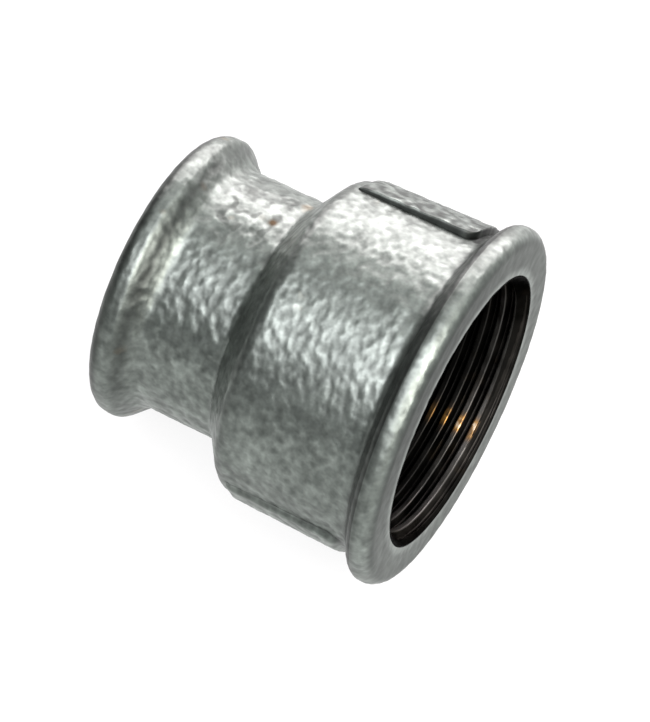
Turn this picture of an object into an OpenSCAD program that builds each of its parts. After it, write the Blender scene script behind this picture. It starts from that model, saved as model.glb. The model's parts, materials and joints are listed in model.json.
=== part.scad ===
// Reducing socket: a concentric reducer with a female pipe thread in each end.
// One malleable iron casting, drawn as its bands, barrels, shoulder, ribs and threads.
// It lies on its side with its axis along X and its large mouth to +X. Sizes are in mm.

/* [Threads] */
// Root diameter of the large female thread, a 1 1/4 inch pipe thread
large_thread_d = 41.91; // [38:0.01:46]
// Root diameter of the small female thread, a 1 inch pipe thread
small_thread_d = 33.249; // [29:0.01:36]
// Pitch of both threads, eleven turns to the inch
thread_pitch = 2.309; // [1.6:0.001:2.6]
// Share of the full thread height that the tapping drill leaves
thread_height = 0.78; // [0.6:0.01:0.9]
// Depth of thread in the large socket
large_thread_len = 20; // [16:0.5:26]
// Depth of thread in the small socket
small_thread_len = 17; // [13:0.5:22]
// Metal behind the thread roots, out to the seat of each thread
thread_backing = 0.6; // [0.4:0.1:1]
// How far each entry chamfer opens past the thread root
chamfer_open = 0.3; // [0.1:0.05:0.35]

/* [Large socket] */
// Wall of the large barrel outside the thread seat
large_wall = 3.4; // [2:0.1:6]
// Height of the large band above the barrel
large_band_rise = 3.25; // [2.5:0.05:5]
// Round on the mouth edge of the large band
large_mouth_round = 2.2; // [0.8:0.1:3]
// Width of the flat on top of the large band
large_crest_w = 0.3; // [0.2:0.05:4]
// Length along the axis of the slope behind the large band
large_back_len = 3.6; // [3:0.05:6]
// Round at the top of that slope
large_back_round = 1.6; // [0.8:0.1:2.5]
// Hollow round at the foot of that slope
large_foot_round = 1.5; // [0.8:0.1:2.5]
// Plain bore between the large thread and the shoulder
large_run_out = 5.2; // [1:0.1:8]

/* [Small socket] */
// Wall of the small barrel outside the thread seat
small_wall = 1.8; // [1.5:0.1:4]
// Height of the small band above the barrel
small_band_rise = 3.3; // [2:0.05:4]
// Round on the mouth edge of the small band
small_mouth_round = 2.2; // [0.6:0.1:2.6]
// Width of the flat on top of the small band
small_crest_w = 0.7; // [0.2:0.05:4]
// Length along the axis of the slope behind the small band
small_back_len = 4.7; // [3:0.05:6]
// Round at the top of that slope
small_back_round = 1.2; // [0.6:0.1:2]
// Hollow round at the foot of that slope
small_foot_round = 2; // [0.6:0.1:2.4]
// Plain bore between the small thread and the shoulder
small_run_out = 1.5; // [0.5:0.1:5]

/* [Shoulder] */
// Length of the shoulder between the two barrels
shoulder_len = 6.3; // [4:0.1:14]
// Hollow round where the shoulder leaves the small barrel
shoulder_hollow = 1.4; // [0.8:0.1:3]
// Full round where the shoulder meets the large barrel
shoulder_round = 2.6; // [0.8:0.1:3]
// How far the cored passage stands in from the thread crests
core_step = 0.4; // [0.2:0.1:1.5]

/* [Ribs] */
// Angle that each rib spans round the large barrel, in degrees
rib_span = 45; // [20:1:80]
// Angle from the top of the part back to the middle of the upper rib, in degrees
rib_turn = 58; // [0:1:90]
// Height of the ribs above the barrel
rib_rise = 1.2; // [0.6:0.1:2]
// Gap between the end of each rib and the foot of the large band
rib_gap = 0.4; // [0.2:0.1:6]
// Round on the edge of each rib that faces the large band
rib_round = 0.6; // [0.2:0.1:0.6]

/* [Hidden] */

$fn = 96;
zinc = "#a7adab";
dark_zinc = "#8f9694";
cut_iron = "#3b3733";

// Whitworth form: full height of thread, half angle between its flanks and width of its root
full_height = 0.640327 * thread_pitch;
thread_depth = full_height * thread_height;
flank_angle = 27.5;
root_w = thread_pitch / 6;
// Steps of the helix in one turn, and of one arc in a section
turn_steps = 36;
arc_steps = 8;
// Overlap of a cutting tool past the face that it cuts
cut_past = 0.25;
// Share of the largest rounds that a slope has room for
round_share = 0.95;

large_root_r = large_thread_d / 2;
large_crest_r = large_root_r - thread_depth;
large_seat_r = large_root_r + thread_backing;
large_barrel_r = large_seat_r + large_wall;
large_core_r = large_crest_r - core_step;
large_band_w = large_mouth_round + large_crest_w + large_back_len;

small_root_r = small_thread_d / 2;
small_crest_r = small_root_r - thread_depth;
small_seat_r = small_root_r + thread_backing;
small_barrel_r = small_seat_r + small_wall;
small_core_r = small_crest_r - core_step;
small_band_w = small_mouth_round + small_crest_w + small_back_len;

// Distances along the axis from the small end face
shoulder_foot = small_thread_len + small_run_out;
shoulder_top = shoulder_foot + shoulder_len;
large_thread_foot = shoulder_top + large_run_out;
overall_len = large_thread_foot + large_thread_len;
large_band_foot = overall_len - large_band_w;
rib_top = large_band_foot - rib_gap;

// Points on an arc about a centre, from angle a to angle b
function arc(centre, r, a, b) = [
    for (i = [0 : arc_steps])
        let (t = a + (b - a) * i / arc_steps)
            centre + r * [cos(t), sin(t)]
];

// Outline of a slope: a hollow round, a straight flank and a full round in line, which rise
// from one radius to another over the given length. x is the radius and y the length.
// On a slope too short for its rounds they shrink until a flank is left
function slope(low_r, high_r, length, hollow_round, full_round) =
    let (
        rise = high_r - low_r,
        room = round_share * (length * length + rise * rise) / (2 * rise),
        fit = min(1, room / (hollow_round + full_round)),
        hollow = fit * hollow_round,
        full = fit * full_round,
        flank = sqrt(length * length + rise * rise - 2 * rise * (hollow + full)),
        lean = atan2(rise - hollow - full, length) + atan2(hollow + full, flank)
    )
    concat(
        arc([low_r + hollow, 0], hollow, 180, 180 - lean),
        arc([high_r - full, length], full, -lean, 0)
    );

// Half section of a band: x is the radius and y the distance in from the end face
module band_section(seat_r, barrel_r, rise, width, mouth_round, back_len, back_round, foot_round) {
    band_r = barrel_r + rise;
    back = slope(barrel_r, band_r, back_len, foot_round, back_round);
    polygon(concat(
        [[seat_r, width]],
        [for (p = back) [p.x, width - p.y]],
        arc([band_r - mouth_round, mouth_round], mouth_round, 0, -90),
        [[seat_r, 0]]
    ));
}

// Plain tube between two places on the axis
module tube(inner_r, outer_r, foot, top) {
    translate([0, 0, foot])
        difference() {
            cylinder(r = outer_r, h = top - foot);
            translate([0, 0, -cut_past])
                cylinder(r = inner_r, h = top - foot + 2 * cut_past);
        }
}

// Barrel bored to the thread seat over the thread, and to the cored passage past it
module barrel(core_r, seat_r, outer_r, foot, top, seat_foot, seat_top) {
    difference() {
        tube(core_r, outer_r, foot, top);
        translate([0, 0, seat_foot])
            cylinder(r = seat_r, h = seat_top - seat_foot);
    }
}

// Four corners of the thread groove, x is the radius and y the place along the axis
function groove_section(crest_r, root_r) =
    let (
        root_half = root_w / 2,
        inner_r = crest_r - cut_past,
        inner_half = root_half + (root_r - inner_r) * tan(flank_angle)
    )
    [[inner_r, -inner_half], [root_r, -root_half], [root_r, root_half], [inner_r, inner_half]];

// One helical groove that runs past both ends of a thread of the given length
module thread_groove(crest_r, root_r, length) {
    section = groove_section(crest_r, root_r);
    corners = len(section);
    steps = ceil((length / thread_pitch + 2) * turn_steps);
    points = [
        for (i = [0 : steps])
            let (turn = 360 * i / turn_steps, rise = thread_pitch * (i / turn_steps - 1))
                for (p = section)
                    [p.x * cos(turn), p.x * sin(turn), p.y + rise]
    ];
    sides = [
        for (i = [0 : steps - 1], k = [0 : corners - 1])
            let (
                a = i * corners + k,
                b = i * corners + (k + 1) % corners
            )
                for (f = [[a, b, b + corners], [a, b + corners, a + corners]]) f
    ];
    last = steps * corners;
    caps = [
        [3, 2, 1], [3, 1, 0],
        [last, last + 1, last + 2], [last, last + 2, last + 3]
    ];
    polyhedron(points = points, faces = concat(sides, caps), convexity = 10);
}

// Thread in a ring of metal, with its mouth at 0 and the thread running in from it
module thread(crest_r, root_r, length) {
    mouth_r = root_r + chamfer_open;
    chamfer_len = mouth_r - crest_r;
    difference() {
        tube(crest_r, root_r + thread_backing, 0, length);
        translate([0, 0, -cut_past])
            cylinder(r1 = mouth_r + cut_past, r2 = crest_r - cut_past, h = chamfer_len + 2 * cut_past);
        thread_groove(crest_r, root_r, length);
    }
}

// Rib on the large barrel, centred on the given angle round the axis from the top
module rib(direction) {
    outer_r = large_barrel_r + rib_rise;
    rotate([0, 0, direction - rib_span / 2])
        rotate_extrude(angle = rib_span)
            polygon(concat(
                arc([large_barrel_r, shoulder_top + rib_rise], rib_rise, -90, 0),
                arc([outer_r - rib_round, rib_top - rib_round], rib_round, 0, 90),
                [[large_barrel_r, rib_top]]
            ));
}

// Lays the part on its large band, with its middle over the origin
module lay() {
    translate([-overall_len / 2, 0, large_barrel_r + large_band_rise])
        rotate([0, -90, 180])
            children();
}

module large_band() {
    color(zinc)
        translate([0, 0, overall_len])
            mirror([0, 0, 1])
                rotate_extrude()
                    band_section(
                        large_seat_r, large_barrel_r, large_band_rise, large_band_w,
                        large_mouth_round, large_back_len, large_back_round, large_foot_round
                    );
}

module large_barrel() {
    color(dark_zinc)
        barrel(
            large_core_r, large_seat_r, large_barrel_r,
            shoulder_top, large_band_foot, large_thread_foot, overall_len
        );
}

module upper_rib() {
    color(zinc) rib(-rib_turn);
}

module lower_rib() {
    color(zinc) rib(180 - rib_turn);
}

module shoulder() {
    outline = slope(small_barrel_r, large_barrel_r, shoulder_len, shoulder_hollow, shoulder_round);
    color(zinc)
        translate([0, 0, shoulder_foot])
            rotate_extrude()
                polygon(concat(
                    [[small_core_r, 0]],
                    outline,
                    [[large_core_r, shoulder_len]]
                ));
}

module small_barrel() {
    color(dark_zinc)
        barrel(
            small_core_r, small_seat_r, small_barrel_r,
            small_band_w, shoulder_foot, 0, small_thread_len
        );
}

module small_band() {
    color(zinc)
        rotate_extrude()
            band_section(
                small_seat_r, small_barrel_r, small_band_rise, small_band_w,
                small_mouth_round, small_back_len, small_back_round, small_foot_round
            );
}

module large_thread() {
    color(cut_iron)
        translate([0, 0, overall_len])
            rotate([180, 0, 0])
                thread(large_crest_r, large_root_r, large_thread_len);
}

module small_thread() {
    color(cut_iron)
        thread(small_crest_r, small_root_r, small_thread_len);
}

lay() large_band();
lay() large_barrel();
lay() upper_rib();
lay() lower_rib();
lay() shoulder();
lay() small_barrel();
lay() small_band();
lay() large_thread();
lay() small_thread();
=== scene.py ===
"""Galvanised reducing socket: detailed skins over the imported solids, on a pale table."""

import json
import math

import bpy
import numpy as np
from mathutils import Matrix, Vector


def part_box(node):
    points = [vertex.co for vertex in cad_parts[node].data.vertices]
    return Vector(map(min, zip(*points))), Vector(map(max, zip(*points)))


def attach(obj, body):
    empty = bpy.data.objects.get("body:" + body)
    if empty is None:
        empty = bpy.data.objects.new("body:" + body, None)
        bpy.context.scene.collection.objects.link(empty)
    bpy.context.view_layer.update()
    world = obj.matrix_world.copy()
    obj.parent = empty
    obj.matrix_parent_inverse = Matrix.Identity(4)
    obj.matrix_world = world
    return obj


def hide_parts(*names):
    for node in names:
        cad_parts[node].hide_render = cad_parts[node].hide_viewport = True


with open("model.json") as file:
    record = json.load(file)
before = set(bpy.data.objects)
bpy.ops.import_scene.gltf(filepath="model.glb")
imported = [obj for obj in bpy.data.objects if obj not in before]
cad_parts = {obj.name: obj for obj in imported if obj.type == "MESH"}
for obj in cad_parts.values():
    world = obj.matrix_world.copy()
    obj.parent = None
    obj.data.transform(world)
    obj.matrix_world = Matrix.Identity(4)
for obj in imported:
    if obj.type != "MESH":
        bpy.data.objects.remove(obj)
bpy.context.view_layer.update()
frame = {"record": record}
MM = 0.001

# Sizes that the frame gives, in metres

def extent(node):
    """Start and end of a node along the axis, and its outer radius."""
    lo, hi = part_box(node)
    return lo.x, hi.x, (hi.y - lo.y) / 2


def mount(name):
    """A mount of the part's record by its name."""
    return next(m for m in frame["record"]["mounts"] if m["name"] == name)


small_end, small_band_top, small_band_r = extent("small_band")
_, shoulder_foot, small_barrel_r = extent("small_barrel")
_, shoulder_top, _ = extent("shoulder")
_, large_band_foot, large_barrel_r = extent("large_barrel")
_, large_end, large_band_r = extent("large_band")
_, small_thread_foot, small_seat_r = extent("small_thread")
large_thread_foot, _, large_seat_r = extent("large_thread")
large_crest_r = mount("large_mouth")["dims"]["r_mm"] * MM
small_crest_r = mount("small_mouth")["dims"]["r_mm"] * MM
axis_height = (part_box("large_band")[0].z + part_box("large_band")[1].z) / 2

# Sizes that the solids share with this scene
PITCH = 2.309 * MM
BACKING = 0.6 * MM
CHAMFER_OPEN = 0.3 * MM
FLANK = math.tan(math.radians(27.5))
ROOT_W = PITCH / 6
CORE_STEP = 0.4 * MM
LARGE_MOUTH_ROUND = 2.2 * MM
LARGE_BACK_LEN = 3.6 * MM
LARGE_BACK_ROUND = 1.6 * MM
LARGE_FOOT_ROUND = 1.5 * MM
SMALL_MOUTH_ROUND = 2.2 * MM
SMALL_BACK_LEN = 4.7 * MM
SMALL_BACK_ROUND = 1.2 * MM
SMALL_FOOT_ROUND = 2.0 * MM
SHOULDER_HOLLOW = 1.4 * MM
SHOULDER_ROUND = 2.6 * MM
RIB_SPAN = math.radians(45)
RIB_TURN = math.radians(58)
RIB_RISE = 1.2 * MM
RIB_GAP = 0.4 * MM
RIB_CORNER = 2.4 * MM
UPPER_RIB = -RIB_TURN
LOWER_RIB = math.pi - RIB_TURN

# Painted shade and dark residue along the outline of each rib: how dark, and how wide to each side
UPPER_SHADE_AND_DIRT = 0.88
LOWER_SHADE_AND_DIRT = 0.55
RIB_SHADE_AND_DIRT_W = 0.29 * MM

large_root_r = large_seat_r - BACKING
small_root_r = small_seat_r - BACKING
large_core_r = large_crest_r - CORE_STEP
small_core_r = small_crest_r - CORE_STEP
rib_top = large_band_foot - RIB_GAP

# Coarser lumps that the small barrel has besides the zinc's own relief, and where they fade out
SMALL_LUMPS, SMALL_LUMPS_LEN = 0.085 * MM, 2.1 * MM
SMALL_LUMPS_FADE = 1.5 * MM

# Fineness of the skins, and of the walls that close them behind
ROW = 0.165 * MM
COLUMNS = 720
CORE_ROW = 0.6 * MM
SMALL_CORE_ROW = 0.5 * MM
STEP_ROW = 1 * MM
HIDDEN_ROW = 2 * MM
THREAD_ROW = 0.085 * MM
THREAD_COLUMNS = 360
TURN = 2 * math.pi


def to_world(points):
    """Points as (towards the top, towards the front, along the axis) to the frame's own axes."""
    out = np.empty_like(points)
    out[..., 0] = points[..., 2]
    out[..., 1] = -points[..., 1]
    out[..., 2] = points[..., 0] + axis_height
    return out


def swept(r, turn, z):
    """Points at the given radii, turns from the top and places along the axis."""
    return np.stack(np.broadcast_arrays(r * np.cos(turn), r * np.sin(turn), z), axis=-1)


# Surface relief

# Multipliers of the lattice's hash
HASH_CELL = np.array([73856093, 19349663, 83492791], dtype=np.uint64)
HASH_SEED = 2654435761
HASH_MIX_1, HASH_MIX_2 = np.uint64(2246822519), np.uint64(3266489917)


def lattice(cells, seed):
    """A repeatable pseudo-random unit vector for each cell of a lattice."""
    n = cells.astype(np.uint64) * HASH_CELL
    h = n[..., 0] ^ n[..., 1] ^ n[..., 2] ^ np.uint64(seed * HASH_SEED)
    h = (h ^ (h >> np.uint64(15))) * HASH_MIX_1
    h = (h ^ (h >> np.uint64(13))) * HASH_MIX_2
    h ^= h >> np.uint64(16)
    a = (h & np.uint64(0xFFFF)).astype(float) / 0xFFFF * TURN
    c = ((h >> np.uint64(16)) & np.uint64(0xFFFF)).astype(float) / 0xFFFF * 2 - 1
    s = np.sqrt(1 - c * c)
    return np.stack([s * np.cos(a), s * np.sin(a), c], axis=-1)


def relief(points, wavelength, seed):
    """Smooth gradient noise, about -1 to 1, with lumps of the given wavelength."""
    p = points / wavelength + 1000.0
    base = np.floor(p)
    f = p - base
    u = f * f * f * (f * (f * 6 - 15) + 10)
    total = np.zeros(p.shape[:-1])
    for corner in np.ndindex(2, 2, 2):
        c = np.array(corner)
        weight = np.prod(np.where(c, u, 1 - u), axis=-1)
        total += weight * np.sum(lattice(base + c, seed) * (f - c), axis=-1)
    return total * 1.6


# Relief of the zinc: how far its lumps are bent, how they are drawn out,
# the height and length of each kind, and the height from hollows to peaks
BEND, BEND_LEN = 0.12 * MM, 1.7 * MM
DRAWN_OUT = (0.74, 0.74, 1)
SWELL, SWELL_LEN = 0.015 * MM, 7 * MM
GRAIN, GRAIN_LEN = 0.088 * MM, 1.12 * MM
FINE_PITS, FINE_PITS_LEN = 0.016 * MM, 0.55 * MM
PEAK_SPAN = 0.12 * MM


def zinc_height(points):
    """Height of the zinc over the casting, in metres."""
    bends = np.stack([relief(points, BEND_LEN, seed) for seed in (11, 12, 13)], axis=-1)
    drawn = (points + BEND * bends) * DRAWN_OUT
    swell = SWELL * relief(points, SWELL_LEN, 1)
    grain = GRAIN * relief(drawn, GRAIN_LEN, 3)
    pits = FINE_PITS * relief(drawn, FINE_PITS_LEN, 4)
    return swell + grain + pits


def peak_of(height):
    """Heights of the zinc as a share, from its hollows at 0 to its peaks at 1."""
    return np.clip(0.5 + height / PEAK_SPAN, 0, 1)


# Half sections, as points (radius, place along the axis)

def line(a, b, step=ROW):
    """Even points on a straight run from one point to another."""
    n = max(1, int(round(math.dist(a, b) / step)))
    return [(a[0] + (b[0] - a[0]) * i / n, a[1] + (b[1] - a[1]) * i / n) for i in range(n + 1)]


def arc(centre, r, start, stop):
    """Even points on a round, between two angles in degrees."""
    n = max(4, int(round(abs(math.radians(stop - start)) * r / ROW)))
    turns = [math.radians(start + (stop - start) * i / n) for i in range(n + 1)]
    return [(centre[0] + r * math.cos(t), centre[1] + r * math.sin(t)) for t in turns]


def joined(*runs):
    """Runs end to end, without the points that they share."""
    out = list(runs[0])
    for run in runs[1:]:
        out += run[1:] if math.dist(out[-1], run[0]) < 1e-6 else run
    return out


def slope(low, high, foot_round, top_round):
    """A hollow round, a straight flank and a full round in line, from a low point up to a high one."""
    reach, rise = abs(high[1] - low[1]), high[0] - low[0]
    way = 1 if high[1] > low[1] else -1
    rounds = foot_round + top_round
    flank = math.sqrt(reach ** 2 + rise ** 2 - 2 * rise * rounds)
    lean = math.degrees(math.atan2(rise - rounds, reach) + math.atan2(rounds, flank))
    foot = arc((low[0] + foot_round, 0), foot_round, 180, 180 - lean)
    top = arc((high[0] - top_round, reach), top_round, -lean, 0)
    run = foot + line(foot[-1], top[0])[1:-1] + top
    return [(r, low[1] + way * z) for r, z in run]


def small_band_line():
    mouth = SMALL_MOUTH_ROUND
    crest_top = small_band_top - SMALL_BACK_LEN
    foot, crest = (small_barrel_r, small_band_top), (small_band_r, crest_top)
    back = slope(foot, crest, SMALL_FOOT_ROUND, SMALL_BACK_ROUND)
    return joined(
        line((small_seat_r, small_end), (small_band_r - mouth, small_end)),
        arc((small_band_r - mouth, small_end + mouth), mouth, -90, 0),
        line((small_band_r, small_end + mouth), crest),
        back[::-1],
    )


def shoulder_line():
    foot, top = (small_barrel_r, shoulder_foot), (large_barrel_r, shoulder_top)
    return slope(foot, top, SHOULDER_HOLLOW, SHOULDER_ROUND)


def large_band_line():
    mouth = LARGE_MOUTH_ROUND
    foot, crest = (large_barrel_r, large_band_foot), (large_band_r, large_band_foot + LARGE_BACK_LEN)
    return joined(
        slope(foot, crest, LARGE_FOOT_ROUND, LARGE_BACK_ROUND),
        line(crest, (large_band_r, large_end - mouth)),
        arc((large_band_r - mouth, large_end - mouth), mouth, 0, 90),
        line((large_band_r - mouth, large_end), (large_seat_r, large_end)),
    )


SKIN = [
    ("small_band", small_band_line()),
    ("small_barrel", line((small_barrel_r, small_band_top), (small_barrel_r, shoulder_foot))),
    ("shoulder", shoulder_line()),
    ("large_barrel", line((large_barrel_r, shoulder_top), (large_barrel_r, large_band_foot))),
    ("large_band", large_band_line()),
]
# Walls that close each ring behind its skin, from the end of the skin back to its start
INSIDE = {
    "small_band": line((small_seat_r, small_band_top), (small_seat_r, small_end), HIDDEN_ROW),
    "small_barrel": joined(
        line((small_core_r, shoulder_foot), (small_core_r, small_thread_foot), SMALL_CORE_ROW),
        line((small_core_r, small_thread_foot), (small_seat_r, small_thread_foot), STEP_ROW),
        line((small_seat_r, small_thread_foot), (small_seat_r, small_band_top), HIDDEN_ROW),
    ),
    "shoulder": line((large_core_r, shoulder_top), (small_core_r, shoulder_foot), CORE_ROW),
    "large_barrel": joined(
        line((large_seat_r, large_band_foot), (large_seat_r, large_thread_foot), HIDDEN_ROW),
        line((large_seat_r, large_thread_foot), (large_core_r, large_thread_foot), STEP_ROW),
        line((large_core_r, large_thread_foot), (large_core_r, shoulder_top), CORE_ROW),
    ),
    "large_band": line((large_seat_r, large_end), (large_seat_r, large_band_foot), HIDDEN_ROW)[1:],
}


# Mesh making

def mesh_piece(name, points, faces, normals=None, **marks):
    """A smooth mesh object from world points, with its own normals and point attributes."""
    mesh = bpy.data.meshes.new(name)
    mesh.from_pydata(points.tolist(), [], faces)
    mesh.update()
    mesh.shade_smooth()
    for mark, values in marks.items():
        layer = mesh.attributes.new(mark, "FLOAT", "POINT")
        layer.data.foreach_set("value", np.asarray(values, dtype=np.float32))
    if normals is not None:
        own = np.empty(len(points) * 3)
        mesh.vertices.foreach_get("normal", own)
        own = own.reshape(-1, 3)
        given = ~np.isnan(normals[:, 0])
        own[given] = normals[given]
        mesh.normals_split_custom_set_from_vertices(own.tolist())
    obj = bpy.data.objects.new(name, mesh)
    bpy.context.scene.collection.objects.link(obj)
    return obj


def ring_faces(rows, columns):
    """Quads of a grid that closes on itself both ways."""
    i, j = np.meshgrid(np.arange(rows), np.arange(columns), indexing="ij")
    a, b = (i + 1) % rows, (j + 1) % columns
    quads = np.stack([i * columns + j, i * columns + b, a * columns + b, a * columns + j], axis=-1)
    return quads.reshape(-1, 4).tolist()


def filled_out(values, count, rest):
    """Values of the first points, and one value for the rest of them."""
    out = np.full(count, float(rest))
    out[: values.size] = values.ravel()
    return out


def adopt(piece, node, material):
    """Puts a piece in place of its solid."""
    piece.data.materials.append(material)
    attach(piece, "root")
    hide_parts(node)
    return piece


# Materials, with their colours as linear values

ZINC_DARK, ZINC_PALE = (0.150, 0.168, 0.154, 1), (0.202, 0.225, 0.207, 1)
STAIN = (0.30, 0.20, 0.10, 1)
# Dark for painted shade in grooves, creases and on edges, and for dirt in pits and rib hollows
SHADE_AND_DIRT_DARK = (0.02, 0.021, 0.02, 1)
# Duller end-face colour, partly a duller finish and partly painted shade
DULL_AND_SHADED_FACE = (0.064, 0.070, 0.066, 1)
RUST_BROWN = (0.045, 0.026, 0.010, 1)
DULL_EDGE, FULL_EDGE = (0.66, 0.66, 0.66, 1), (1.0, 1.0, 1.0, 1)
IRON_DARK, IRON_PALE = (0.016, 0.015, 0.014, 1), (0.038, 0.035, 0.031, 1)
# Lighter crest colour: a painted highlight on the thread's crests
CREST_HIGHLIGHT = (0.16, 0.155, 0.145, 1)
OIL_BROWN = (0.16, 0.11, 0.055, 1)
# Black for the painted shade deeper in the bore, and for the darker chamfer
DEEP_BLACK = (0.005, 0.005, 0.0045, 1)
# Warm fringe and bright core of the painted glint in the bore
GLINT_WARM, GLINT_BRIGHT = (0.42, 0.22, 0.06, 1), (0.95, 0.82, 0.62, 1)
IRON_EDGE = (0.3, 0.3, 0.3, 1)


def node_of(tree, kind, **values):
    n = tree.nodes.new(kind)
    for key, value in values.items():
        if key in n.inputs:
            n.inputs[key].default_value = value
        else:
            setattr(n, key, value)
    return n


def noise_of(tree, coords, scale, detail):
    n = node_of(tree, "ShaderNodeTexNoise", Scale=scale, Detail=detail)
    tree.links.new(coords, n.inputs["Vector"])
    return n.outputs["Fac"]


def ramp_of(tree, value, low, high, start=(0, 0, 0, 1), stop=(1, 1, 1, 1)):
    n = tree.nodes.new("ShaderNodeValToRGB")
    n.color_ramp.elements[0].position = low
    n.color_ramp.elements[1].position = high
    n.color_ramp.elements[0].color = start
    n.color_ramp.elements[1].color = stop
    tree.links.new(value, n.inputs["Fac"])
    return n.outputs["Color"]


def socket_named(sockets, name, kind):
    return next(s for s in sockets if s.name == name and s.type == kind)


def mix_colours(tree, factor, a, b, blend="MIX"):
    n = tree.nodes.new("ShaderNodeMix")
    n.data_type = "RGBA"
    n.blend_type = blend
    pairs = (
        (socket_named(n.inputs, "Factor", "VALUE"), factor),
        (socket_named(n.inputs, "A", "RGBA"), a),
        (socket_named(n.inputs, "B", "RGBA"), b),
    )
    for socket, value in pairs:
        if isinstance(value, (float, int, tuple)):
            socket.default_value = value
        else:
            tree.links.new(value, socket)
    return socket_named(n.outputs, "Result", "RGBA")


def range_of(tree, value, low, high, to_low, to_high):
    n = node_of(tree, "ShaderNodeMapRange")
    n.inputs["From Min"].default_value = low
    n.inputs["From Max"].default_value = high
    n.inputs["To Min"].default_value = to_low
    n.inputs["To Max"].default_value = to_high
    tree.links.new(value, n.inputs["Value"])
    return n.outputs["Result"]


def mark_of(tree, name):
    n = tree.nodes.new("ShaderNodeAttribute")
    n.attribute_name = name
    return n.outputs["Fac"]


def new_material(name):
    material = bpy.data.materials.new(name)
    material.use_nodes = True
    tree = material.node_tree
    shader = tree.nodes["Principled BSDF"]
    shader.inputs["Metallic"].default_value = 1.0
    coords = tree.nodes.new("ShaderNodeTexCoord").outputs["Object"]
    return material, tree, shader, coords


def painted(tree, colour, mark, paint, most, low=0, high=1):
    """A colour mixed towards a paint as a mark goes from low to high, up to the given share."""
    return mix_colours(tree, range_of(tree, mark, low, high, 0, most), colour, paint)


def bump_of(tree, height, strength, distance, below=None):
    n = node_of(tree, "ShaderNodeBump", Strength=strength, Distance=distance)
    tree.links.new(height, n.inputs["Height"])
    if below is not None:
        tree.links.new(below, n.inputs["Normal"])
    return n.outputs["Normal"]


def zinc_material():
    material, tree, shader, coords = new_material("galvanised_zinc")
    clouds = noise_of(tree, coords, scale=150, detail=4)
    specks = noise_of(tree, coords, scale=1300, detail=1)
    mottle = noise_of(tree, coords, scale=480, detail=2)
    stains = ramp_of(tree, noise_of(tree, coords, scale=95, detail=3), 0.68, 0.78)
    peaks, cut = mark_of(tree, "peak"), mark_of(tree, "cut")
    colour = ramp_of(tree, clouds, 0.3, 0.7, ZINC_DARK, ZINC_PALE)
    # Colour lighter on the relief's peaks and darker in its hollows: painted highlight and painted shade of
    # the relief
    colour = mix_colours(tree, 0.18, colour, ramp_of(tree, peaks, 0.15, 0.85), "OVERLAY")
    colour = mix_colours(tree, 0.12, colour, ramp_of(tree, specks, 0.3, 0.7), "OVERLAY")
    colour = mix_colours(tree, 0.2, colour, ramp_of(tree, mottle, 0.35, 0.65), "OVERLAY")
    colour = painted(tree, colour, stains, STAIN, 0.5)
    # Painted shade in grooves, creases and on edges, with dirt in pits and rib hollows
    colour = painted(tree, colour, mark_of(tree, "crevice"), SHADE_AND_DIRT_DARK, 0.95)
    # Duller end faces: partly a duller finish, partly painted shade, with the rim round the bore left
    # brighter as a painted highlight
    colour = painted(tree, colour, cut, DULL_AND_SHADED_FACE, 0.85)
    colour = painted(tree, colour, mark_of(tree, "rust"), RUST_BROWN, 0.9, low=0.1, high=0.8)
    tree.links.new(colour, shader.inputs["Base Color"])
    tree.links.new(mix_colours(tree, cut, FULL_EDGE, DULL_EDGE), shader.inputs["Specular Tint"])
    tree.links.new(range_of(tree, peaks, 0.1, 0.9, 0.44, 0.37), shader.inputs["Roughness"])
    fine = bump_of(tree, noise_of(tree, coords, scale=2400, detail=2), 0.05, 0.1 * MM)
    tree.links.new(bump_of(tree, specks, 0.07, 0.12 * MM, fine), shader.inputs["Normal"])
    return material


def thread_material():
    material, tree, shader, coords = new_material("cut_thread_iron")
    clouds = noise_of(tree, coords, scale=260, detail=3)
    oil = ramp_of(tree, noise_of(tree, coords, scale=170, detail=2), 0.6, 0.72)
    worn = mark_of(tree, "worn")
    colour = ramp_of(tree, clouds, 0.3, 0.7, IRON_DARK, IRON_PALE)
    # Crests painted lighter: a painted highlight
    colour = painted(tree, colour, mark_of(tree, "crest"), CREST_HIGHLIGHT, 0.8)
    colour = painted(tree, colour, oil, OIL_BROWN, 0.3)
    # Painted shade: the thread darkens deeper into the bore, and the chamfer is darker
    colour = painted(tree, colour, mark_of(tree, "deep"), DEEP_BLACK, 0.92)
    # Painted glint on the crests: warm fringe, then bright core
    colour = painted(tree, colour, worn, GLINT_WARM, 0.8, low=0, high=0.3)
    colour = painted(tree, colour, worn, GLINT_BRIGHT, 1, low=0.3, high=0.7)
    tree.links.new(colour, shader.inputs["Base Color"])
    shader.inputs["Specular Tint"].default_value = IRON_EDGE
    tree.links.new(range_of(tree, clouds, 0.3, 0.7, 0.32, 0.48), shader.inputs["Roughness"])
    chips = noise_of(tree, coords, scale=1800, detail=3)
    tree.links.new(bump_of(tree, chips, 0.2, 0.08 * MM), shader.inputs["Normal"])
    return material


ZINC = zinc_material()
IRON = thread_material()


# Rings: one skin all the way along, cut where the solids meet

turns = np.arange(COLUMNS) * TURN / COLUMNS
skin_points, skin_slices = [], {}
for node, run in SKIN:
    start = max(len(skin_points) - 1, 0)
    skin_points = joined(skin_points, run) if skin_points else list(run)
    skin_slices[node] = (start, len(skin_points))
skin = np.array(skin_points)
skin_r, skin_z = skin[:, 0], skin[:, 1]
along = np.gradient(skin, axis=0)
along /= np.linalg.norm(along, axis=1, keepdims=True)
outward = np.stack([along[:, 1], -along[:, 0]], axis=1)


def rounded(profile, turn=turns):
    """Section points swept round the axis."""
    return swept(profile[:, :1], turn, profile[:, 1:])


def near(value, target, width):
    """A soft hill, 1 at the target and falling off over the width."""
    return np.exp(-((value - target) / width) ** 2)


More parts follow.
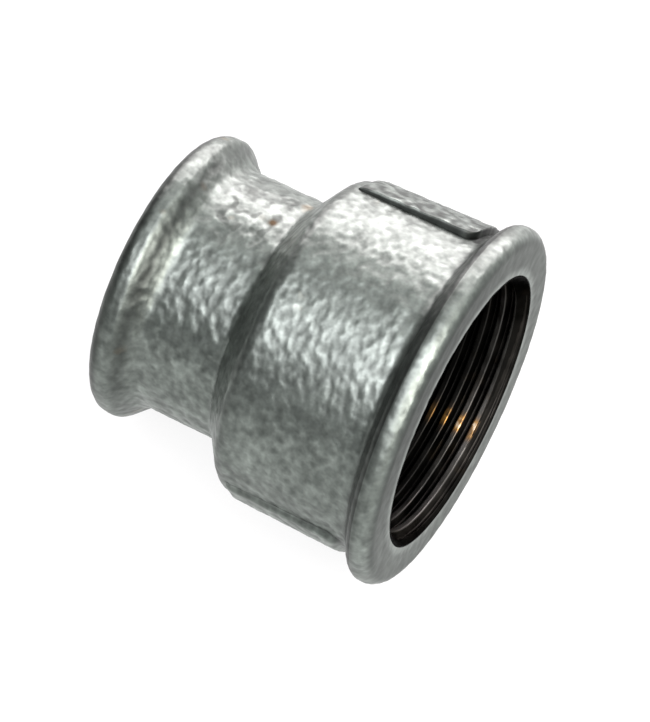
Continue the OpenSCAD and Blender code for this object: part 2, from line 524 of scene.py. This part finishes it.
def turned_from(centre):
    """Turn of each column from a place round the axis, from minus to plus half a turn."""
    return (turns - centre + math.pi) % TURN - math.pi


# How far in from each mouth its end face can reach, and over what slant it comes in
END_ZONE, END_FADE = 4 * MM, 0.25
between_ends = (skin_z > small_end + END_ZONE) & (skin_z < large_end - END_ZONE)


def facing_end(least):
    """Share by which the skin belongs to an end face, from the least slant to the axis that counts."""
    share = np.clip((np.abs(outward[:, 1]) - least) / END_FADE, 0, 1)
    share[between_ends] = 0
    return share


# End faces and bands carry thinner relief than the rest of the cast skin
FLAT_LOSS, BAND_LOSS = 0.6, 0.35
on_large_band = (skin_z > large_band_foot) * (skin_r - large_barrel_r) / (large_band_r - large_barrel_r)
on_small_band = (skin_z < small_band_top) * (skin_r - small_barrel_r) / (small_band_r - small_barrel_r)
on_band = np.clip(np.maximum(on_large_band, on_small_band), 0, 1)
thinner = (1 - FLAT_LOSS * facing_end(0.75)) * (1 - BAND_LOSS * on_band)
on_small = (
    np.clip((skin_z - small_band_top) / SMALL_LUMPS_FADE, 0, 1)
    * np.clip((shoulder_foot - skin_z) / SMALL_LUMPS_FADE, 0, 1)
)[:, None]
sweep = rounded(skin)
height = zinc_height(sweep) * thinner[:, None]
height += SMALL_LUMPS * on_small * relief(sweep, SMALL_LUMPS_LEN, 22)
lifted_r = skin[:, :1] + outward[:, :1] * height
lifted_z = skin[:, 1:] + outward[:, 1:] * height
grid = swept(lifted_r, turns, lifted_z)
run_down = np.gradient(grid, axis=0)
run_round = (np.roll(grid, -1, axis=1) - np.roll(grid, 1, axis=1)) / 2
grid_normal = np.cross(run_round, run_down)
grid_normal /= np.linalg.norm(grid_normal, axis=-1, keepdims=True)

rib_half = RIB_SPAN / 2 * (large_barrel_r + RIB_RISE)


def rib_inside(across, to_end):
    """Distance in from the outline of a rib: its sides, its rounded corners and its end by the band."""
    cx = np.clip(np.abs(across) - (rib_half - RIB_CORNER), 0, None)
    cz = np.clip(RIB_CORNER - to_end, 0, None)
    at_corner = RIB_CORNER - np.hypot(cx, cz)
    return np.where((cx > 0) & (cz > 0), at_corner, np.minimum(rib_half - np.abs(across), to_end))


def rib_shade_and_dirt(across, to_end, width):
    """Painted shade and dark residue along the outline of a rib, on both sides of it, wider towards the
    band, and in the gap before the band.
    """
    nearer = np.clip(1 - to_end / (rib_top - shoulder_top), 0, 1)
    spread = width * (0.25 + 0.85 * nearer ** 2)
    outline = np.clip(1.5 - np.abs(rib_inside(across, to_end)) / spread, 0, 1)
    beyond = near(to_end, -RIB_GAP, 0.7 * MM) * (np.abs(across) < rib_half)
    return np.maximum(outline, beyond)


# Painted shade all the way round, as (strength, place along the axis, width, where it can lie): behind the
# large band, at the top of its back slope, by the shoulder's upper edge and on the small mouth's edge
below_crest = skin_r < large_barrel_r + 3.2 * MM
small_edge = skin_r > small_band_r - 1.4 * MM
ROUND_SHADE = (
    (0.78, large_band_foot + 2.05 * MM, 1.5 * MM, below_crest),
    (0.45, large_band_foot + 3.3 * MM, 0.6 * MM, 1),
    (0.46, shoulder_top - 1.1 * MM, 0.9 * MM, 1),
    (0.8, small_end + 1.0 * MM, 0.9 * MM, small_edge),
)
crevice_row = 0
for strength, place, width, where in ROUND_SHADE:
    crevice_row = crevice_row + strength * near(skin_z, place, width) * where
crevice = np.repeat(np.clip(crevice_row, 0, 1)[:, None], COLUMNS, axis=1)

# Painted shade on the flank behind the small band, strongest on the upper front side
SHADED_TURN, SHADED_SPAN = math.radians(25), math.radians(65)
shaded_side = near(turned_from(SHADED_TURN), 0, SHADED_SPAN)
behind_small = 0.84 * near(skin[:, 1:], small_band_top - 2.8 * MM, 1.1 * MM)
crevice = np.clip(crevice + behind_small * (0.3 + 0.7 * shaded_side), 0, 1)

# Painted shade and dark residue round the ribs
on_barrel = ((skin_z > shoulder_top) & (skin_r < large_barrel_r + RIB_RISE))[:, None]
for centre, outline_shade_and_dirt in ((UPPER_RIB, UPPER_SHADE_AND_DIRT), (LOWER_RIB, LOWER_SHADE_AND_DIRT)):
    across = turned_from(centre) * (large_barrel_r + RIB_RISE)
    round_rib = rib_shade_and_dirt(across, rib_top - skin[:, 1:], RIB_SHADE_AND_DIRT_W)
    crevice = np.maximum(crevice, outline_shade_and_dirt * round_rib * on_barrel)

# Dirt in the pits on the upper side of the small barrel
PIT_DIRT, PIT_LEN = 0.6, 1.3 * MM
PIT_DRAWN_OUT = (0.8, 0.8, 1)
PIT_START, PIT_FADE = 0.1, 0.3
PIT_TURN, PIT_SPAN = math.radians(-14), math.radians(24)
pit_depth = -relief(sweep * PIT_DRAWN_OUT, PIT_LEN, 23)
pits = np.clip((pit_depth - PIT_START) / PIT_FADE, 0, 1) * on_small
upper_side = near(turned_from(PIT_TURN), 0, PIT_SPAN)
crevice = np.maximum(crevice, PIT_DIRT * pits * upper_side)

# Rust spots in the zinc, as (place along the axis, turn from the top, size, strength)
small_barrel_len = shoulder_foot - small_band_top
RUST = (
    (shoulder_foot - 0.19 * small_barrel_len, math.radians(-14), 0.7 * MM, 1.0),
    (shoulder_foot - 0.35 * small_barrel_len, math.radians(-14), 0.8 * MM, 0.3),
    (small_band_top - 2.3 * MM, math.radians(-12), 0.7 * MM, 0.4),
)
rust = np.zeros(crevice.shape)
for place, turn, size, strength in RUST:
    away = np.hypot(skin[:, 1:] - place, turned_from(turn) * skin[:, :1])
    rust = np.maximum(rust, strength * near(away, 0, size))

# Duller ring of each end face, partly a duller finish and partly painted shade that is stronger on the
# upper front side; it lies outside the rim round the bore, which is left brighter as a painted highlight
RIM_BRIGHT, RIM_FADE = 0.3 * MM, 1.2 * MM
rim = np.where(skin_z > 0, skin_r - large_seat_r, skin_r - small_seat_r)
dull_and_shade_row = facing_end(0.7) * np.clip((rim - RIM_BRIGHT) / RIM_FADE, 0, 1)
dull_and_shade = dull_and_shade_row[:, None] * (0.55 + 0.45 * shaded_side)

# The cored passage carries half the relief of the outside
CORE_RELIEF = 0.5
outwards = swept(1, turns, 0)
for node, _ in SKIN:
    rows = slice(*skin_slices[node])
    outer = grid[rows]
    wall = np.array(INSIDE[node])
    inner = rounded(wall)
    rough_core = CORE_RELIEF * zinc_height(inner) * (wall[:, :1] < large_seat_r - MM)
    inner = inner + outwards * rough_core[..., None]
    points = np.concatenate([outer, inner]).reshape(-1, 3)
    count = len(points)
    normals = np.full((count, 3), np.nan)
    normals[: outer.size // 3] = grid_normal[rows].reshape(-1, 3)
    normals = to_world(normals)
    normals[:, 2] -= axis_height
    faces = ring_faces(len(outer) + len(inner), COLUMNS)
    piece = mesh_piece(
        node + "_skin", to_world(points), faces, normals,
        crevice=filled_out(crevice[rows], count, 0),
        peak=filled_out(peak_of(height[rows]), count, 0.5),
        # the cut mark carries the duller end faces and their painted shade
        cut=filled_out(dull_and_shade[rows], count, 0),
        rust=filled_out(rust[rows], count, 0),
    )
    adopt(piece, node, ZINC)


# Ribs

# Rows by both ends of a rib and columns by its sides, as distances in, and the steps between them
RIB_END_ROWS = np.array([0, 0.04, 0.1, 0.18, 0.28, 0.4, 0.55, 0.72, 0.92, 1.15, 1.4, 1.7, 2.0]) * MM
RIB_SIDE_COLUMNS = np.array([0, 0.03, 0.08, 0.15, 0.24, 0.35, 0.5, 0.7]) * MM
RIB_MIDDLE_FROM, RIB_MIDDLE_TO, RIB_ROW = 2.25 * MM, 2.2 * MM, 0.25 * MM
RIB_COLUMN = 0.26 * MM

# A rib comes up from the shoulder over a short way, then goes on rising to its end by the band
RIB_FOOT_LEN = 1.6 * MM
RIB_LOW_SHARE = 0.6
RIB_BUMP_LEN = 1.4 * MM
# How far its outline and its underside lie below the barrel's surface
RIB_SINK, RIB_UNDER = 0.02 * MM, 0.5 * MM


def rib(name, node, centre, height, edge, side, outline_shade_and_dirt, bumps, hollow_dirt):
    """A rib whose sides rise over the edge width by the given form, with cast bumps on its top."""
    middle_rows = np.arange(shoulder_top + RIB_MIDDLE_FROM, rib_top - RIB_MIDDLE_TO, RIB_ROW)
    rows = np.concatenate([shoulder_top + RIB_END_ROWS, middle_rows, rib_top - RIB_END_ROWS[::-1]])[:, None]
    to_end = rib_top - rows
    bite = np.clip(RIB_CORNER - to_end, 0, None)
    half_at = rib_half - RIB_CORNER + np.sqrt(np.clip(RIB_CORNER ** 2 - bite ** 2, 0, None))
    inner = np.arange(RIB_SIDE_COLUMNS[-1] + RIB_COLUMN, rib_half, RIB_COLUMN)
    share = 1 - np.concatenate([RIB_SIDE_COLUMNS, inner]) / rib_half
    across = half_at * np.concatenate([-share, share[::-1]])
    t = np.clip(rib_inside(across, to_end) / edge, 0, 1)
    foot = np.clip((rows - shoulder_top) / RIB_FOOT_LEN, 0, 1)
    taper = RIB_LOW_SHARE + (1 - RIB_LOW_SHARE) * (rows - shoulder_top) / (rib_top - shoulder_top)
    rise = height * taper * round_side(foot) * side(t)
    angle = centre + across / (large_barrel_r + RIB_RISE)
    on_surface = swept(large_barrel_r, angle, rows)
    rough = zinc_height(on_surface) + bumps * relief(on_surface, RIB_BUMP_LEN, 21)
    top = swept(large_barrel_r + rise + rough * t - RIB_SINK, angle, rows)
    under = swept(large_barrel_r - RIB_UNDER, angle, rows)
    count = angle.size
    index = np.arange(count).reshape(angle.shape)
    corners = [index[:-1, :-1], index[:-1, 1:], index[1:, 1:], index[1:, :-1]]
    quads = np.stack(corners, axis=-1).reshape(-1, 4)
    faces = quads.tolist() + (quads[:, ::-1] + count).tolist()
    loop = np.concatenate([index[0, :-1], index[:-1, -1], index[-1, :0:-1], index[:0:-1, 0]])
    after = np.roll(loop, -1)
    faces += np.stack([after, loop, loop + count, after + count], axis=-1).tolist()
    hollows = np.clip(0.5 * hollow_dirt - 1.2 * hollow_dirt * rough / bumps, 0, hollow_dirt)
    # Painted shade and dark residue along the rib's outline, and darker hollows among its bumps
    rib_shade_and_dirt_marks = np.maximum(outline_shade_and_dirt * rib_shade_and_dirt(across, to_end, RIB_SHADE_AND_DIRT_W), hollows)
    points = np.concatenate([top, under]).reshape(-1, 3)
    piece = mesh_piece(
        name, to_world(points), faces,
        crevice=filled_out(rib_shade_and_dirt_marks, 2 * count, 1),
        peak=filled_out(peak_of(rough), 2 * count, 0.5),
        cut=np.zeros(2 * count),
    )
    return adopt(piece, node, ZINC)


def round_side(t):
    return np.sqrt(1 - (1 - t) ** 2)


def soft_side(t):
    return t * t * (3 - 2 * t)


rib(
    "upper_rib_skin", "upper_rib", UPPER_RIB, height=RIB_RISE, edge=0.24 * MM, side=round_side,
    outline_shade_and_dirt=UPPER_SHADE_AND_DIRT, bumps=0.16 * MM, hollow_dirt=0.66,
)
rib(
    "lower_rib_skin", "lower_rib", LOWER_RIB, height=0.75 * RIB_RISE, edge=1.1 * MM, side=soft_side,
    outline_shade_and_dirt=LOWER_SHADE_AND_DIRT, bumps=0.08 * MM, hollow_dirt=0.12,
)


# Threads

# How the groove runs out at the foot of the thread
RUN_OUT, RUN_OUT_POWER = 1.3 * PITCH, 0.7
CHATTER, CHATTER_LEN = 0.012 * MM, 1.4 * MM
THREAD_BACK_ROW = 2.5 * MM
# Depth of cut over which a crest's painted highlight fades out, and how the thread is painted darker
# inwards as shade and darker on its chamfer
CREST_FADE = 0.25 * MM
DEEP_FROM, DEEP_FADE = 1.5 * MM, 5 * MM
CHAMFER_DEEP = 0.85
# Painted glint on the crests: place round the bore where the crests are painted bright, how far round and
# how deep it reaches, how bright, and the length of the bright lumps
GLINT_TURN = math.radians(204)
GLINT_SPAN = math.radians(3.4)
GLINT_DEPTH = 6 * MM
GLINT_SHARE = 0.9
GLINT_LEN = 0.9 * MM


def thread(name, node, crest_r, root_r, seat_r, mouth, foot):
    """A tube with a right-hand groove and a chamfer, from its mouth to its foot."""
    turn = np.arange(THREAD_COLUMNS) * TURN / THREAD_COLUMNS
    into = 1 if foot > mouth else -1
    length = abs(foot - mouth)
    depth = np.linspace(0, length, int(round(length / THREAD_ROW)) + 1)[:, None]
    z = mouth + into * depth
    phase = (z - PITCH * turn / TURN) / PITCH
    off = np.abs((phase + 0.5) % 1 - 0.5) * PITCH
    # Groove of the thread: flat root, straight flanks, then the crest left by the drill
    cut = np.clip(root_r - crest_r - np.clip(off - ROOT_W / 2, 0, None) / FLANK, 0, None)
    cut *= np.clip((length - depth) / RUN_OUT, 0, 1) ** RUN_OUT_POWER
    bore = crest_r + cut
    chamfer = root_r + CHAMFER_OPEN - depth
    drilled = swept(crest_r, turn, z + 0 * turn)
    r = np.maximum(bore, chamfer) + CHATTER * relief(drilled, CHATTER_LEN, 31)
    surface = swept(r, turn, z)
    back = rounded(np.array(line((seat_r, foot), (seat_r, mouth), THREAD_BACK_ROW)), turn)
    points = np.concatenate([surface, back]).reshape(-1, 3)
    count = len(points)
    faces = ring_faces(len(surface) + len(back), THREAD_COLUMNS)
    if into < 0:
        faces = [f[::-1] for f in faces]
    # Crests of the thread, painted lighter as a highlight
    crest = np.clip(1 - cut / CREST_FADE, 0, 1) * (chamfer <= bore)
    # Painted shade deeper into the bore, and a darker chamfer
    inward = np.clip((depth - DEEP_FROM) / DEEP_FADE, 0, 1)
    deep = np.maximum(inward, CHAMFER_DEEP * (chamfer > bore))
    # Painted glint on the crests at one place round the bore
    glint_lumps = GLINT_SHARE * np.clip(0.85 + 1.4 * relief(drilled, GLINT_LEN, 33), 0.2, 1)
    worn = glint_lumps * crest * near(turn, GLINT_TURN, GLINT_SPAN) * near(depth, 0, GLINT_DEPTH)
    piece = mesh_piece(
        name, to_world(points), faces,
        crest=filled_out(crest, count, 0),
        deep=filled_out(deep, count, 1),
        worn=filled_out(worn, count, 0),
    )
    return adopt(piece, node, IRON)


thread(
    "large_thread_cut", "large_thread",
    large_crest_r, large_root_r, large_seat_r, large_end, large_thread_foot,
)
thread(
    "small_thread_cut", "small_thread",
    small_crest_r, small_root_r, small_seat_r, small_end, small_thread_foot,
)


# Camera, as fitted to the photograph: azimuth from the front, height over the table and distance
CAMERA_TURN = math.radians(29.2)
CAMERA_LIFT = math.radians(58.1)
CAMERA_AWAY = 0.532
CAMERA_LENS = 182.0
CAMERA_ASIDE = (2.2 * MM, -3.0 * MM, 0)
CAMERA_NEAREST = 0.01

middle = Vector(((small_end + large_end) / 2, 0, axis_height))
back = Vector((
    math.sin(CAMERA_TURN) * math.cos(CAMERA_LIFT),
    -math.cos(CAMERA_TURN) * math.cos(CAMERA_LIFT),
    math.sin(CAMERA_LIFT),
))
camera = bpy.data.objects.new("camera", bpy.data.cameras.new("camera"))
bpy.context.scene.collection.objects.link(camera)
camera.rotation_euler = (-back).to_track_quat("-Z", "Y").to_euler()
aside = camera.rotation_euler.to_matrix() @ Vector(CAMERA_ASIDE)
camera.location = middle + back * CAMERA_AWAY + aside
camera.data.lens = CAMERA_LENS
camera.data.clip_start = CAMERA_NEAREST
bpy.context.scene.camera = camera


# Table that both bands rest on: they touch it a little way in from each mouth
FLOOR_SIZE = 4
REST_IN = 2.5 * MM
lean = math.atan2(large_band_r - small_band_r, large_end - small_end - 2 * REST_IN)
rest_point = (large_end - REST_IN, 0, axis_height - large_band_r)
bpy.ops.mesh.primitive_plane_add(size=FLOOR_SIZE, location=rest_point)
floor = bpy.context.object
floor.name = "floor"
floor.rotation_euler = (0, lean, 0)

# Paper that looks nearly white with a faint shadow, and that lights the part as plain paper does
PAPER_WHITE = 0.86
PAPER_GREY = (0.85, 0.85, 0.85, 1)
paper = bpy.data.materials.new("pale_paper")
paper.use_nodes = True
tree = paper.node_tree
tree.nodes.clear()
path = tree.nodes.new("ShaderNodeLightPath")
seen = node_of(tree, "ShaderNodeMath", operation="MAXIMUM")
tree.links.new(path.outputs["Is Camera Ray"], seen.inputs[0])
tree.links.new(path.outputs["Is Glossy Ray"], seen.inputs[1])
seen_all = node_of(tree, "ShaderNodeMath", operation="MAXIMUM")
tree.links.new(seen.outputs[0], seen_all.inputs[0])
tree.links.new(path.outputs["Is Transmission Ray"], seen_all.inputs[1])
part_lit = node_of(tree, "ShaderNodeMath", operation="MULTIPLY")
part_lit.inputs[1].default_value = PAPER_WHITE
tree.links.new(seen_all.outputs[0], part_lit.inputs[0])
diffuse = node_of(tree, "ShaderNodeBsdfDiffuse", Color=PAPER_GREY)
white = node_of(tree, "ShaderNodeEmission", Color=(1, 1, 1, 1), Strength=1.0)
both = tree.nodes.new("ShaderNodeMixShader")
tree.links.new(part_lit.outputs[0], both.inputs[0])
tree.links.new(diffuse.outputs[0], both.inputs[1])
tree.links.new(white.outputs[0], both.inputs[2])
surface_out = tree.nodes.new("ShaderNodeOutputMaterial")
tree.links.new(both.outputs[0], surface_out.inputs["Surface"])
floor.data.materials.append(paper)


def softbox(name, toward, distance, width, height, brightness, tint, turn):
    """A rectangular lamp of even brightness, aimed at the part and turned about its own axis."""
    lamp = bpy.data.lights.new(name, "AREA")
    lamp.shape = "RECTANGLE"
    lamp.size, lamp.size_y = width, height
    lamp.energy = brightness * math.pi * width * height
    lamp.color = tint
    obj = bpy.data.objects.new(name, lamp)
    toward = Vector(toward).normalized()
    along = toward.cross(Vector((1, 0, 0))).normalized()
    obj.location = middle + toward * distance
    upright = Matrix((along.cross(toward), along, toward)).transposed()
    obj.rotation_euler = (Matrix.Rotation(turn, 3, toward) @ upright).to_euler()
    bpy.context.scene.collection.objects.link(obj)


# Lamps, as (name, direction from the part, distance, width, height, brightness, tint,
# turn about its own axis)
LAMPS = (
    ("back_window", (-0.15, 0.93, 0.335), 0.65, 1.2, 0.54, 5.7, (1.0, 0.905, 0.945), 0),
    ("front_box", (0.09, -0.34, 0.935), 0.6, 0.40, 0.56, 4.7, (0.975, 0.94, 1.0), math.radians(-30)),
    ("low_box", (0.44, -0.70, 0.56), 0.6, 0.20, 0.26, 4.5, (0.97, 0.95, 0.99), 0),
    ("side_box", (0.70, -0.24, 0.67), 0.6, 0.50, 0.42, 7.6, (1.0, 0.95, 0.91), 0),
)
for lamp_values in LAMPS:
    softbox(*lamp_values)

# Room that brightens towards one side
ROOM_TOWARD = (0.5, 0.28, 0.8)
ROOM_FROM, ROOM_TO = -0.45, 0.9
ROOM_DARK, ROOM_PALE = (0.07, 0.075, 0.073, 1), (0.97, 1.0, 0.99, 1)
world = bpy.data.worlds.new("studio")
bpy.context.scene.world = world
world.use_nodes = True
world_tree = world.node_tree
facing = world_tree.nodes.new("ShaderNodeTexCoord").outputs["Generated"]
lean_to = node_of(world_tree, "ShaderNodeVectorMath", operation="DOT_PRODUCT")
lean_to.inputs[1].default_value = ROOM_TOWARD
world_tree.links.new(facing, lean_to.inputs[0])
brightening = range_of(world_tree, lean_to.outputs["Value"], ROOM_FROM, ROOM_TO, 0, 1)
room = ramp_of(world_tree, brightening, 0, 1, ROOM_DARK, ROOM_PALE)
world_tree.links.new(room, world_tree.nodes["Background"].inputs["Color"])

bpy.context.scene.view_settings.view_transform = "Standard"
